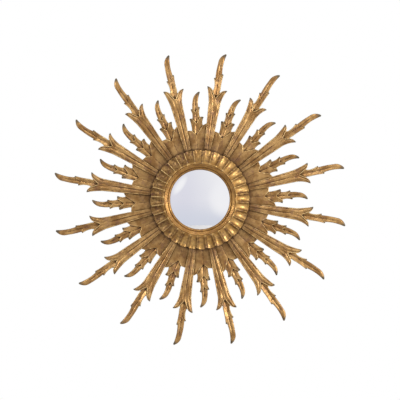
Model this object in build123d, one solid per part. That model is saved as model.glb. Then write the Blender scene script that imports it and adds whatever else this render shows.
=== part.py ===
from build123d import *
import os
from math import atan2, cos, hypot, radians, sin, sqrt

# A carved and gilded starburst mirror, 36 inches across, with a round convex glass.
# Everything is built lying face up: x to the right, y up the wall, z forward from the wall.
# The finished pieces are then stood up, so that the wall is the plane y = 0 and the front faces -Y.
# All sizes are in millimetres.

# Layout of the burst, in degrees counter-clockwise from the right, seen from the front
ray_count = 16
first_long_ray = 103.9
half_turn_between_rays = 180 / ray_count
flute_count = 32
first_flute = 103.2

# Depths, one on top of the other, from the wall forward
felt_thick = 1.5
wall_gap = 8.0
hub_thick = 16.0
root_thick = 16.0
stem_rise = 7.0
ring_rim_thick = 11.0
ring_height = 29.0
hub_back = wall_gap
hub_front = hub_back + hub_thick
ring_seat = hub_front + root_thick
stem_crest = ring_seat + stem_rise
ring_crest = ring_seat + ring_height

# Round pieces
glass_r = 100.0
glass_thick = 3.0
glass_bulge = 16.0
glass_play = 3.0
glass_rebate = 4.0
sight_opening_r = glass_r - glass_rebate
sight_ring_band = 15.5
sight_lip_thick = 2.5
gasket_thick = 3.0
bore_r = glass_r + glass_play
spigot_wall = 10.0
spigot_r = bore_r + spigot_wall
fluted_band = 43.3
ring_r = sight_opening_r + sight_ring_band + fluted_band
hub_overhang = 30.2
hub_r = ring_r + hub_overhang
packing_wall = 10.0
panel_thick = 4.0
panel_play = 0.6
spacer_inset = 7.0
spacer_outer_r = hub_r - spacer_inset
spacer_wall = 18.0
glue_line = 0.1

# Flutes of the ring
flute_radius = 20.0
flute_sweep_r = 62.0
flute_rim_depth = 5.5
flute_crest_depth = 3.2
scallop_depth = 2.8

# Long ray: u is the distance from the mirror's centre and v is to the clockwise side
ray_play = 0.4
widest_half = 60.0
stem_root_half = 10.0
narrow_stem_length = 85.2
stem_knee_r = ring_r + narrow_stem_length
stem_knee_half = 15.2
stem_length = 190.2
claw_r = ring_r + stem_length
blade_length = 44.0
finger_length = 68.0
ray_back_rise = 5.0
finger_tip_thick = 8.0
groove_width = 5.0
groove_depth = 2.5
groove_offset = 4.6

# Leaf ray
leaf_base_length = 61.2
lobe_left_r = ring_r + leaf_base_length
lobe_stagger = 21.0
lobe_right_r = lobe_left_r + lobe_stagger
arrow_length = 36.0
leaf_stage_r = lobe_left_r + arrow_length
leaf_stage_length = 32.0
leaf_finger_length = 50.0
leaf_tip_thick = 7.0
leaf_step = 2.5

# Screws
wood_screw_r = 2.0
wood_screw_head_r = 3.9
wood_screw_head = 2.4
screw_play = 0.05
clearance_hole_play = 0.25
ray_screw_length = 26.0
inner_screw_step = 15.0
outer_screw_inset = 4.8
ray_screw_circles = (spigot_r + inner_screw_step, ring_r - outer_screw_inset)
ring_screw_length = 34.0
ring_screw_count = 8
ring_screw_turn = 11.25
spacer_screw_length = 15.0
spacer_screw_count = 8
spacer_screw_turn = first_long_ray - half_turn_between_rays / 2

# Turn buttons
button_count = 4
button_pivot_inset = 13.0
button_pivot_r = bore_r + button_pivot_inset
button_thick = 1.2
button_half_width = 6.0
button_reach = 24.0
button_lift = 0.3
button_screw_length = 12.0
button_head_r = 3.6
button_head = 2.0

# Strap hangers and their rings
hanger_side_inset = 3.0
hanger_x = bore_r - hanger_side_inset
hanger_drop = 105.0
hanger_y = hub_r - hanger_drop
strap_thick = 1.1
strap_half_width = 6.0
strap_length = 34.0
eye_lift = 3.3
ring_wire_r = 1.5
eye_play = 0.06
ring_half_width = 12.0
ring_shoulder_r = 3.0
ring_side = 8.0
strap_screw_places = (13.0, 27.0)
strap_screw_length = 13.0
strap_screw_r = 1.6
strap_screw_head_r = 2.9
strap_screw_head = 1.0


def polar(radius, angle):
    """Point at a radius and an angle in degrees."""
    return (radius * cos(radians(angle)), radius * sin(radians(angle)))


def disc(radius, low, high):
    """Solid disc between two depths."""
    return Pos(0, 0, low) * Cylinder(radius, high - low, align=(Align.CENTER, Align.CENTER, Align.MIN))


def washer(inner_r, outer_r, low, high):
    """Flat ring between two depths."""
    return disc(outer_r, low, high) - disc(inner_r, low - 1, high + 1)


def turned(points):
    """Solid turned about the z axis from an outline of (radius, depth) points.

    A point may carry a third number: how far the run that arrives at it bows to its left.
    """
    return revolve(Plane.XZ * outline(points), Axis.Z)


def outline(points):
    """Face inside a closed outline of (x, y) or (x, y, bow) points."""
    edges = []
    for start, end in zip(points, points[1:] + points[:1]):
        bow = end[2] if len(end) > 2 else 0
        if not bow:
            edges.append(Line(start[:2], end[:2]))
            continue
        dx = end[0] - start[0]
        dy = end[1] - start[1]
        span = hypot(dx, dy)
        middle = ((start[0] + end[0]) / 2 - bow * dy / span, (start[1] + end[1]) / 2 + bow * dx / span)
        edges.append(ThreePointArc(start[:2], middle, end[:2]))
    return make_face(edges)


def carved(points, front):
    """One stage of a ray, from its outline in (u, v) and its (u, back, front) stations seen from the side.

    The outline's v is to the clockwise side, and a third number bows the run that arrives there.
    """
    face = outline([(p[0], -p[1], -p[2] if len(p) > 2 else 0) for p in points])
    block = extrude(face, ring_crest)
    side = [(u, high) for u, low, high in front] + [(u, low) for u, low, high in reversed(front)]
    profile = extrude(Plane.XZ * outline(side), widest_half, both=True)
    return block & profile


def around(shape, count, start):
    """Copies of a shape turned evenly about the z axis."""
    return [Rot(0, 0, start + 360 / count * k) * shape for k in range(count)]


def countersunk_screw(shank_r, head_r, head, length, play=0.0):
    """Screw along +z with its flat head at z = 0, or the hole for it when play is given."""
    cone = Cone(head_r + play, shank_r + play, head, align=(Align.CENTER, Align.CENTER, Align.MIN))
    shank = Pos(0, 0, head) * Cylinder(
        shank_r + play, length - head, align=(Align.CENTER, Align.CENTER, Align.MIN)
    )
    return cone + shank


def wood_screw(length, play=0.0):
    """Countersunk wood screw of the size used for the rays, the ring and the spacer."""
    return countersunk_screw(wood_screw_r, wood_screw_head_r, wood_screw_head, length, play)


# Where the screws stand

long_ray_angles = [first_long_ray - 360 / ray_count * k for k in range(ray_count)]
leaf_angles = [angle - half_turn_between_rays for angle in long_ray_angles]
ring_screw_r = (bore_r + spigot_r) / 2
spacer_screw_r = spacer_outer_r - spacer_wall / 2


# Long rays

def stem_half(u):
    """Half the width of a long ray's stem between the root and the knee."""
    share = (u - ring_r) / (stem_knee_r - ring_r)
    return stem_root_half + (stem_knee_half - stem_root_half) * max(0, share)


def ray_back(u):
    """Depth of a ray's back: flat on the hub board, then rising gently to the longest tip."""
    tip = claw_r + blade_length + finger_length
    return hub_front + ray_back_rise * max(0, (u - hub_r) / (tip - hub_r))


def stations(*pairs):
    """Side profile stations (u, back, front) from (u, front) pairs, with one at the hub's edge."""
    ends = sorted(pairs)
    ahead = [p for p in ends if p[0] > hub_r]
    behind = [p for p in ends if p[0] <= hub_r]
    if ahead and behind:
        (u0, f0), (u1, f1) = behind[-1], ahead[0]
        share = (hub_r - u0) / (u1 - u0)
        ends = behind + [(hub_r, f0 + (f1 - f0) * share)] + ahead
    return [(u, ray_back(u), front) for u, front in ends]


def long_ray():
    """Long ray along +x: stem with claws, blade with small barbs, and a curved finger."""
    root_r = spigot_r + ray_play
    small_r = claw_r + blade_length
    tip_r = small_r + finger_length
    crest = stem_crest
    blade_front = crest - 5.0
    finger_front = crest - 7.5
    tip_front = ray_back(tip_r) + finger_tip_thick
    stem_start = ring_r + ray_play
    root_end = stem_start + 1
    root = carved(
        [
            (root_r, -stem_root_half),
            (root_r, stem_root_half),
            (root_end, stem_root_half),
            (root_end, -stem_root_half),
        ],
        stations((root_r - 1, ring_seat), (root_end + 1, ring_seat)),
    )
    stem = carved(
        [
            (stem_start, -stem_half(stem_start)),
            (stem_knee_r, -stem_knee_half),
            (claw_r - 45, -18.4),
            (claw_r + 5.5, -30.2, 1.2),
            (claw_r - 4, -12.4, -2.5),
            (claw_r - 27, 0),
            (claw_r - 7.5, 14.3),
            (claw_r - 0.5, 33.8, -2.3),
            (claw_r - 40, 18.6, 2.6),
            (stem_knee_r, stem_knee_half),
            (stem_start, stem_half(stem_start)),
        ],
        stations((stem_start - 1, crest), (claw_r - 50, crest - 1.5), (claw_r + 8, crest + 0.5)),
    )
    blade = carved(
        [
            (claw_r - 45, -8.0),
            (claw_r - 4, -12.4),
            (claw_r + 0.5, -8.6),
            (small_r - 9.5, -12.4, 2.3),
            (small_r - 10, -8.2),
            (small_r - 17, 0),
            (small_r + 6, 9.6),
            (small_r + 4, 13.2),
            (claw_r + 2, 11.8, 1.0),
            (claw_r - 7.5, 14.3),
            (claw_r - 45, 9.0),
        ],
        stations((claw_r - 46, blade_front), (claw_r + 10, blade_front), (small_r + 10, blade_front + 1.5)),
    )
    finger = carved(
        [
            (small_r - 28, -5.5),
            (small_r - 10, -8.2),
            (small_r + 36, -6.8, -1.0),
            (tip_r, 13.4, -6.0),
            (small_r + 6, 9.6, 3.2),
            (small_r - 28, 7.5),
        ],
        stations((small_r - 29, finger_front), (small_r + 20, finger_front + 0.5), (tip_r + 2, tip_front)),
    )
    ray = root + stem + blade + finger
    half = groove_width / 2
    groove = Plane.YZ * outline([(-half, crest + 0.5), (0, crest - groove_depth), (half, crest + 0.5)])
    for side in (-groove_offset, groove_offset):
        ray -= Pos(stem_start - 1, side, 0) * extrude(groove, claw_r - 45 - stem_start)
    for circle in ray_screw_circles:
        ray -= Pos(circle, 0, 0) * disc(wood_screw_r + screw_play, hub_front - 1, hub_back + ray_screw_length + 1)
    return ray


# Leaf rays

def beside_long_ray(u, side):
    """Point of a leaf's side that runs along the neighbouring long ray, at the long ray's own u."""
    half = stem_half(u) + ray_play
    radius = hypot(u, half)
    angle = radians(half_turn_between_rays) - atan2(half, u)
    return (radius * cos(angle), side * radius * sin(angle))


def leaf_ray():
    """Leaf ray along +x: wide base with two lobes, two arrow-shaped stages, and a curved finger."""
    root_r = spigot_r + ray_play
    first = leaf_stage_r
    second = first + leaf_stage_length
    tip_r = second + leaf_finger_length
    top = ring_seat
    left_notch = (lobe_left_r - 2.5, -14.3)
    right_notch = (lobe_right_r - 7.5, 19.7)
    base = carved(
        [
            beside_long_ray(root_r, -1),
            beside_long_ray(ring_r, -1),
            beside_long_ray(lobe_left_r, -1),
            left_notch,
            (lobe_left_r - 16, -1.0),
            right_notch,
            beside_long_ray(lobe_right_r, 1),
            beside_long_ray(ring_r, 1),
            beside_long_ray(root_r, 1),
        ],
        stations(
            (root_r - 6, top),
            (ring_r + 2, top),
            (lobe_left_r - 24, top - 4),
            (lobe_right_r + 5, top - 2),
        ),
    )
    arrow = carved(
        [
            (lobe_left_r - 34, -9.0),
            left_notch,
            (first - 2, -20.8, 1.4),
            (first - 0.5, -13.0, -1.0),
            (first - 16, -0.5),
            (first + 3.5, 12.4),
            (first + 3, 23.2, -1.2),
            right_notch + (2.4,),
            (lobe_left_r - 34, 9.0),
        ],
        stations(
            (lobe_left_r - 35, top - 4 - leaf_step),
            (lobe_left_r - 4, top - 4 - leaf_step),
            (first + 6, top - 3),
        ),
    )
    tongue = carved(
        [
            (first - 30, -6.5),
            (first - 0.5, -13.0),
            (second - 3.5, -16.6, 2.4),
            (second - 3, -11.2),
            (second - 13, 0),
            (second + 3.5, 7.8),
            (second + 2.5, 13.5),
            (first + 3.5, 12.4, 2.6),
            (first - 30, 6.5),
        ],
        stations((first - 31, top - 5 - leaf_step), (first - 8, top - 5 - leaf_step), (second + 6, top - 4)),
    )
    finger = carved(
        [
            (second - 25, -6.0),
            (second - 3, -11.2),
            (second + 22, -8.6, -0.8),
            (tip_r, 13.3, -5.0),
            (second + 3.5, 7.8, 3.6),
            (second - 25, 5.5),
        ],
        stations(
            (second - 26, top - 6 - leaf_step),
            (second + 10, top - 5.5 - leaf_step),
            (tip_r + 2, ray_back(tip_r) + leaf_tip_thick),
        ),
    )
    leaf = base + arrow + tongue + finger
    for circle in ray_screw_circles:
        leaf -= Pos(circle, 0, 0) * disc(wood_screw_r + screw_play, hub_front - 1, hub_back + ray_screw_length + 1)
    return leaf


# Fluted ring, sight ring, glass and what holds the glass

sight_ring_r = sight_opening_r + sight_ring_band
glass_sphere_r = (glass_r**2 + glass_bulge**2) / (2 * glass_bulge)
ledge = ring_seat + 6.0
lip_back = ledge + 2.0
glass_front_edge = lip_back - gasket_thick
glass_back_edge = glass_front_edge - glass_thick


def glass_front(radius):
    """Depth of the glass's front face at a radius."""
    centre = glass_front_edge - sqrt(glass_sphere_r**2 - glass_r**2)
    return centre + sqrt(glass_sphere_r**2 - radius**2)


def flute_cutter():
    """Ring-shaped cutter that hollows one flute along +x, from the crest down to the rim."""
    inner = (sight_ring_r + 2, ring_crest - flute_crest_depth)
    outer = (ring_r, ring_seat + ring_rim_thick - flute_rim_depth)
    half_span = hypot(outer[0] - inner[0], outer[1] - inner[1]) / 2
    slope = atan2(outer[1] - inner[1], outer[0] - inner[0])
    lift = sqrt(flute_sweep_r**2 - half_span**2)
    centre_r = (inner[0] + outer[0]) / 2 - lift * sin(slope)
    centre_z = (inner[1] + outer[1]) / 2 + lift * cos(slope)
    return Pos(centre_r, 0, centre_z) * Rot(90, 0, 0) * Torus(flute_sweep_r - flute_radius, flute_radius)


def fluted_ring():
    """Ring with hollow flutes: a spigot down to the hub board and a flange over the ray roots."""
    rim_top = ring_seat + ring_rim_thick
    crest_r = sight_ring_r + 2
    body = turned(
        [
            (bore_r, hub_front),
            (spigot_r, hub_front),
            (spigot_r, ring_seat),
            (ring_r, ring_seat),
            (ring_r, rim_top),
            (crest_r, ring_crest, 4.2),
            (sight_ring_r + glue_line, ring_crest - 1),
            (sight_ring_r + glue_line, ledge),
            (bore_r, ledge),
        ]
    )
    scallops = []
    pitch = 360 / flute_count
    for k in range(flute_count):
        middle = first_flute + pitch * k
        scallops.append(
            ThreePointArc(
                polar(ring_r - scallop_depth, middle - pitch / 2),
                polar(ring_r, middle),
                polar(ring_r - scallop_depth, middle + pitch / 2),
            )
        )
    body = body & extrude(make_face(scallops), ring_crest + 1)
    body = body - around(flute_cutter(), flute_count, first_flute)
    holes = Pos(ring_screw_r, 0, 0) * disc(
        wood_screw_r + screw_play, hub_front - 1, hub_back + ring_screw_length + 1
    )
    return body - around(holes, ring_screw_count, ring_screw_turn)


def sight_ring():
    """Plain sloping ring that frames the glass."""
    return turned(
        [
            (sight_opening_r, lip_back),
            (bore_r - 0.5, lip_back),
            (bore_r - 0.5, ledge),
            (sight_ring_r, ledge),
            (sight_ring_r, ring_crest - 2),
            (sight_ring_r - 2.5, ring_crest - 1, -0.5),
            (sight_opening_r, lip_back + sight_lip_thick, 1.5),
        ]
    )


def mirror_glass():
    """Convex round glass, silvered on the back."""
    back_sphere_r = glass_sphere_r - glass_thick
    back_bulge = back_sphere_r - sqrt(back_sphere_r**2 - glass_r**2)
    return revolve(
        Plane.XZ
        * make_face(
            [
                Line((0, glass_back_edge + back_bulge), (0, glass_front(0))),
                ThreePointArc(
                    (0, glass_front(0)), (glass_r / 2, glass_front(glass_r / 2)), (glass_r, glass_front_edge)
                ),
                Line((glass_r, glass_front_edge), (glass_r, glass_back_edge)),
                ThreePointArc(
                    (glass_r, glass_back_edge),
                    (
                        glass_r / 2,
                        glass_back_edge + back_bulge - back_sphere_r + sqrt(back_sphere_r**2 - glass_r**2 / 4),
                    ),
                    (0, glass_back_edge + back_bulge),
                ),
            ]
        ),
        Axis.Z,
    )


def glass_gasket():
    """Felt ring between the glass and the sight ring's lip."""
    inner = sight_opening_r + 0.5
    return turned(
        [
            (inner, glass_front(inner) + glue_line),
            (glass_r, glass_front_edge + glue_line),
            (glass_r, lip_back),
            (inner, lip_back),
        ]
    )


def packing_ring():
    """Ring that presses the glass forward from the backing panel."""
    inner = glass_r - packing_wall
    return washer(inner, glass_r, hub_back + panel_thick, glass_back_edge)


def backing_panel():
    """Hardboard disc that closes the back, flush with the hub board."""
    return disc(bore_r - panel_play, hub_back, hub_back + panel_thick)


# Hub board and what stands it off the wall

def hub_board():
    """Plywood ring that carries every ray and the fluted ring."""
    board = washer(bore_r, hub_r, hub_back, hub_front)
    ray_hole = Pos(0, 0, hub_back) * wood_screw(hub_thick + 1, clearance_hole_play)
    holes = []
    for circle in ray_screw_circles:
        for angle in long_ray_angles + leaf_angles:
            holes.append(Pos(*polar(circle, angle), 0) * ray_hole)
    holes += around(Pos(ring_screw_r, 0, 0) * ray_hole, ring_screw_count, ring_screw_turn)
    button_hole = disc(wood_screw_r + screw_play, hub_back - 1, button_screw_seat() + button_screw_length + 1)
    holes += around(Pos(button_pivot_r, 0, 0) * button_hole, button_count, 0)
    spacer_hole = disc(wood_screw_r + screw_play, hub_back - 1, felt_thick + spacer_screw_length + 1)
    holes += around(Pos(spacer_screw_r, 0, 0) * spacer_hole, spacer_screw_count, spacer_screw_turn)
    strap_hole = disc(strap_screw_r + screw_play, hub_back - 1, hub_back - strap_thick + strap_screw_length + 1)
    for x, y in strap_screw_points():
        holes.append(Pos(x, y, 0) * strap_hole)
    return board - holes


def wall_spacer_ring():
    """Ring on the hub's back that keeps the hanging hardware clear of the wall."""
    ring = washer(spacer_outer_r - spacer_wall, spacer_outer_r, felt_thick, hub_back)
    hole = Pos(spacer_screw_r, 0, felt_thick) * wood_screw(hub_back, clearance_hole_play)
    return ring - around(hole, spacer_screw_count, spacer_screw_turn)


def wall_felt_ring():
    """Felt glued on the spacer ring, which rests on the wall."""
    return washer(spacer_outer_r - spacer_wall + 1, spacer_outer_r - 1, 0, felt_thick)


# Turn buttons

def button_screw_seat():
    """Depth of the underside of a turn button's screw head."""
    return hub_back - 2 * button_lift - button_thick


def turn_button():
    """Flat brass button on +x, its tongue lying over the backing panel."""
    low = hub_back - button_lift - button_thick
    span = button_reach - button_half_width
    tongue = Pos(-span / 2, 0) * SlotCenterToCenter(span, 2 * button_half_width)
    plate = Pos(button_pivot_r, 0, low) * extrude(tongue, button_thick)
    return plate - Pos(button_pivot_r, 0, 0) * disc(wood_screw_r + screw_play, low - 1, hub_back + 1)


def button_screw():
    """Round-headed screw that a turn button turns on."""
    seat = button_screw_seat()
    head = disc(button_head_r, seat - button_head, seat)
    head = chamfer(head.edges().group_by(Axis.Z)[0], button_head / 2)
    return head + disc(wood_screw_r, seat, seat + button_screw_length)


# Strap hangers and hanging rings

def strap_screw_points():
    """Places of the hanger screws, as (x, y)."""
    return [(side * hanger_x, hanger_y - place) for side in (-1, 1) for place in strap_screw_places]


def hanger_strap(side):
    """Steel strap folded round the hanging ring's bar, with two countersunk holes."""
    eye_outer = ring_wire_r + eye_play + strap_thick
    eye_centre = hub_back - eye_lift
    plate = Plane.YZ * outline(
        [
            (-strap_length, hub_back),
            (-strap_length, hub_back - strap_thick),
            (-eye_outer - 2, hub_back - strap_thick),
            (-eye_outer + strap_thick / 2, eye_centre),
            (-eye_outer + 2 * strap_thick, eye_centre),
            (-eye_outer + strap_thick, hub_back),
        ]
    )
    strap = extrude(plate, strap_half_width, both=True)
    barrel = Pos(0, 0, eye_centre) * Rot(0, 90, 0) * Cylinder(eye_outer, 2 * strap_half_width)
    bar_hole = Pos(0, 0, eye_centre) * Rot(0, 90, 0) * Cylinder(ring_wire_r + eye_play, 4 * strap_half_width)
    strap = strap + barrel - bar_hole
    for place in strap_screw_places:
        strap -= Pos(0, -place, hub_back - strap_thick) * countersunk_screw(
            strap_screw_r, strap_screw_head_r, strap_screw_head, strap_thick + 1, screw_play
        )
    return Pos(side * hanger_x, hanger_y, 0) * strap


def hanging_ring(side):
    """D-shaped wire ring, hanging down from the strap's eye."""
    inner = ring_half_width - ring_shoulder_r
    low = -ring_side
    path = Wire(
        [
            Line((-inner, 0), (inner, 0)),
            ThreePointArc(
                (inner, 0),
                (inner + ring_shoulder_r * sin(radians(45)), -ring_shoulder_r * (1 - cos(radians(45)))),
                (ring_half_width, -ring_shoulder_r),
            ),
            Line((ring_half_width, -ring_shoulder_r), (ring_half_width, low)),
            ThreePointArc((ring_half_width, low), (0, low - ring_half_width), (-ring_half_width, low)),
            Line((-ring_half_width, low), (-ring_half_width, -ring_shoulder_r)),
            ThreePointArc(
                (-ring_half_width, -ring_shoulder_r),
                (-inner - ring_shoulder_r * sin(radians(45)), -ring_shoulder_r * (1 - cos(radians(45)))),
                (-inner, 0),
            ),
        ]
    )
    wire = sweep(Plane(origin=(-inner, 0, 0), z_dir=(1, 0, 0)) * Circle(ring_wire_r), path=path)
    return Pos(side * hanger_x, hanger_y, hub_back - eye_lift) * wire


# Writing the pieces

def write(name, *solids):
    """Stand the piece up and write its file."""
    shapes = [Rot(90, 0, 0) * solid for solid in solids]
    piece = shapes[0] if len(shapes) == 1 else Compound(children=shapes)
    export_step(piece, f"parts/{name}.step")


def main():
    """Build every piece and write one file for each."""
    os.makedirs("parts", exist_ok=True)
    ray = long_ray()
    leaf = leaf_ray()
    for number, (ray_angle, leaf_angle) in enumerate(zip(long_ray_angles, leaf_angles), start=1):
        write(f"long_ray_{number:02d}", Rot(0, 0, ray_angle) * ray)
        write(f"leaf_ray_{number:02d}", Rot(0, 0, leaf_angle) * leaf)
    write("fluted_ring", fluted_ring())
    write("sight_ring", sight_ring())
    write("mirror_glass", mirror_glass())
    write("glass_gasket", glass_gasket())
    write("packing_ring", packing_ring())
    write("backing_panel", backing_panel())
    write("hub_board", hub_board())
    write("wall_spacer_ring", wall_spacer_ring())
    write("wall_felt_ring", wall_felt_ring())
    for number, button in enumerate(around(turn_button(), button_count, 0), start=1):
        write(f"turn_button_{number}", button)
    write("turn_button_screws", *around(Pos(button_pivot_r, 0, 0) * button_screw(), button_count, 0))
    for name, side in (("left", -1), ("right", 1)):
        write(f"hanger_strap_{name}", hanger_strap(side))
        write(f"hanging_ring_{name}", hanging_ring(side))
    strap_screw = Pos(0, 0, hub_back - strap_thick) * countersunk_screw(
        strap_screw_r, strap_screw_head_r, strap_screw_head, strap_screw_length
    )
    write("hanger_screws", *[Pos(x, y, 0) * strap_screw for x, y in strap_screw_points()])
    ray_screw = Pos(0, 0, hub_back) * wood_screw(ray_screw_length)
    for name, angles in (("long_ray_screws", long_ray_angles), ("leaf_ray_screws", leaf_angles)):
        write(name, *[Pos(*polar(c, a), 0) * ray_screw for c in ray_screw_circles for a in angles])
    ring_screw = Pos(ring_screw_r, 0, hub_back) * wood_screw(ring_screw_length)
    write("ring_screws", *around(ring_screw, ring_screw_count, ring_screw_turn))
    spacer_screw = Pos(spacer_screw_r, 0, felt_thick) * wood_screw(spacer_screw_length)
    write("spacer_screws", *around(spacer_screw, spacer_screw_count, spacer_screw_turn))


main()
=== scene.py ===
"""Starburst mirror: carved and gilded rays round a fluted ring and a convex glass.

Lengths in the classes are millimetres. A ray is drawn in its own plane: u runs outward from the
mirror's centre, v to the clockwise side, and depth forward from the wall.
"""
import logging
import math
from dataclasses import dataclass, field
from enum import Enum
from functools import partial

import bmesh
import bpy
import numpy as np
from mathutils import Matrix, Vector


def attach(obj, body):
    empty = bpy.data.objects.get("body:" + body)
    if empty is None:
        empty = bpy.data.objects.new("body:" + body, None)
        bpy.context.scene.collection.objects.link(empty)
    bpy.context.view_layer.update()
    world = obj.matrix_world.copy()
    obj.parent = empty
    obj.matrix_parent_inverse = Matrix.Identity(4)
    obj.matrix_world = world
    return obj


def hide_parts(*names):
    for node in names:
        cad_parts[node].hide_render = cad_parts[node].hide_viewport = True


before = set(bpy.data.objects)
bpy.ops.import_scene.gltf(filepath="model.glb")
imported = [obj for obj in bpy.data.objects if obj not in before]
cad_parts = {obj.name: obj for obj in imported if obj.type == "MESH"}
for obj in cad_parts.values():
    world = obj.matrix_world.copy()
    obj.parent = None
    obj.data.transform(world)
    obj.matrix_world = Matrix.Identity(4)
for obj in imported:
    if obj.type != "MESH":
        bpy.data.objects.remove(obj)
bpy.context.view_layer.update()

log = logging.getLogger("starburst_mirror")

MM = 0.001

Point = tuple[float, ...]
Section = tuple[tuple[float, float], ...]
Linear = tuple[float, float, float, float]
Socket = bpy.types.NodeSocket
Tree = bpy.types.NodeTree


class Body(Enum):
    """Bodies of the mirror that the scene's own pieces ride on."""

    FRAME = "frame"


class Slot(Enum):
    """Material slots of the record."""

    GILDED_RAYS = "gilded_rays"
    GILDED_RING = "gilded_ring"
    MIRROR_GLASS = "mirror_glass"


class Mask(Enum):
    """Attributes of a carved mesh that say where the finish changes and where shade and highlights are
    painted.
    """

    # Hollows: brown toner with painted shade; on rays also steep faces and the ring's painted shadow.
    RECESS = "recess"
    # Edges: wear on the gilding with a painted highlight.
    EDGE = "edge"
    TIP = "tip"
    BACK = "back"
    # Painted shade on the ring's flute walls and left shoulder, partly brown toner.
    SHADE_AND_GLAZE = "shade_and_glaze"


# Small helpers

def linear(code: str) -> Linear:
    """Turn an sRGB hex colour into linear light.

    Args:
        code: colour such as "#C8A060".

    Returns:
        Red, green, blue and an alpha of one.
    """
    parts = []
    for start in (1, 3, 5):
        share = int(code[start:start + 2], 16) / 255
        parts.append(share / 12.92 if share <= 0.04045 else ((share + 0.055) / 1.055) ** 2.4)
    return (parts[0], parts[1], parts[2], 1.0)


def feed(tree: Tree, made: bpy.types.Node, inputs: dict[str | int, object]) -> None:
    """Set or link inputs of a node.

    Args:
        tree: the node's tree.
        made: the node.
        inputs: values or sockets, by the input's name or place.
    """
    for socket, value in inputs.items():
        if isinstance(value, bpy.types.NodeSocket):
            tree.links.new(value, made.inputs[socket])
        else:
            made.inputs[socket].default_value = value


def node(tree: Tree, kind: str, inputs: dict[str | int, object] | None = None, **settings) -> bpy.types.Node:
    """Add a node to a tree.

    Args:
        tree: the node tree.
        kind: the node's type name.
        inputs: values or sockets for the node's inputs, by name or place.
        **settings: attributes of the node.

    Returns:
        The new node.
    """
    made = tree.nodes.new(kind)
    for name, value in settings.items():
        setattr(made, name, value)
    feed(tree, made, inputs or {})
    return made


def smoothstep(low: float, high: float, value: np.ndarray | float) -> np.ndarray | float:
    """Smooth step from nought at low to one at high."""
    share = np.clip((np.asarray(value, float) - low) / (high - low), 0.0, 1.0)
    return share * share * (3 - 2 * share)


def mesh_object(name: str, points: np.ndarray, faces: list, material: bpy.types.Material,
                smooth: bool = True) -> bpy.types.Object:
    """Make a mesh object at the origin.

    Args:
        name: the piece's name.
        points: corner places in metres.
        faces: corner numbers of each face.
        material: the finish.
        smooth: whether faces are shaded smooth.

    Returns:
        The linked object.
    """
    mesh = bpy.data.meshes.new(name)
    mesh.from_pydata([tuple(p) for p in points], [], faces)
    mesh.update()
    if smooth:
        mesh.shade_smooth()
    mesh.materials.append(material)
    piece = bpy.data.objects.new(name, mesh)
    bpy.context.scene.collection.objects.link(piece)
    return piece


def applied(piece: bpy.types.Object) -> bpy.types.Mesh:
    """Return the plain mesh that a piece's modifiers make, and take the modifiers off."""
    depsgraph = bpy.context.evaluated_depsgraph_get()
    mesh = bpy.data.meshes.new_from_object(piece.evaluated_get(depsgraph))
    piece.modifiers.clear()
    return mesh


def dress(piece: bpy.types.Object, nodes: list[str], body: Body = Body.FRAME) -> None:
    """Let a finished piece stand for its nodes and ride on its body.

    Args:
        piece: the finished piece.
        nodes: names of the nodes that it replaces.
        body: the body that it rides on.
    """
    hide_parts(*nodes)
    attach(piece, body.value)


# Finishes

class Finish:
    """A finish that can build its own material."""

    name: str

    def start(self) -> tuple[bpy.types.Material, Tree, bpy.types.Node, Socket]:
        """Make the empty material.

        Returns:
            The material, its node tree, its shader and the object coordinates.
        """
        material = bpy.data.materials.new(self.name)
        material.use_nodes = True
        tree = material.node_tree
        tree.nodes.clear()
        shader = node(tree, "ShaderNodeBsdfPrincipled")
        node(tree, "ShaderNodeOutputMaterial", {"Surface": shader.outputs["BSDF"]})
        coords = node(tree, "ShaderNodeTexCoord")
        return material, tree, shader, coords.outputs["Object"]


def grain(tree: Tree, coords: Socket, size: float, low: float = 0.3, high: float = 0.7,
          detail: float = 3.0, stretch: Point = (1.0, 1.0, 1.0)) -> Socket:
    """Mottling of a given size as a value from nought to one.

    Args:
        tree: the material's tree.
        coords: object coordinates.
        size: real size of a spot in millimetres.
        low: noise value that becomes nought.
        high: noise value that becomes one.
        detail: number of finer layers.
        stretch: scale of the pattern along each axis.

    Returns:
        The socket with the value.
    """
    place = node(tree, "ShaderNodeMapping", {"Vector": coords, "Scale": stretch})
    noise = node(tree, "ShaderNodeTexNoise", {
        "Vector": place.outputs[0], "Scale": 1 / (size * MM), "Detail": detail, "Roughness": 0.6})
    return between(tree, noise.outputs[0], low, high)


def math_of(tree: Tree, operation: str, *values: Socket | float) -> Socket:
    """Sum, product or other operation of values, held between nought and one."""
    made = node(tree, "ShaderNodeMath", dict(enumerate(values)), operation=operation, use_clamp=True)
    return made.outputs[0]


def mixed(tree: Tree, share: Socket | float, first: Socket | Linear, second: Socket | Linear) -> Socket:
    """Colour between two colours."""
    return node(tree, "ShaderNodeMix", {0: share, 6: first, 7: second}, data_type="RGBA").outputs[2]


def between(tree: Tree, value: Socket, low: float, high: float, start: float = 0.0,
            end: float = 1.0) -> Socket:
    """Value remapped smoothly from low..high to start..end."""
    return node(tree, "ShaderNodeMapRange",
                {"Value": value, "From Min": low, "From Max": high, "To Min": start, "To Max": end},
                interpolation_type="SMOOTHSTEP").outputs[0]


def bumped(tree: Tree, height: Socket, strength: float, depth: float) -> Socket:
    """Surface direction roughened by a height pattern whose full depth is given in millimetres."""
    made = node(tree, "ShaderNodeBump", {"Strength": strength, "Distance": depth * MM, "Height": height})
    return made.outputs[0]


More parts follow.
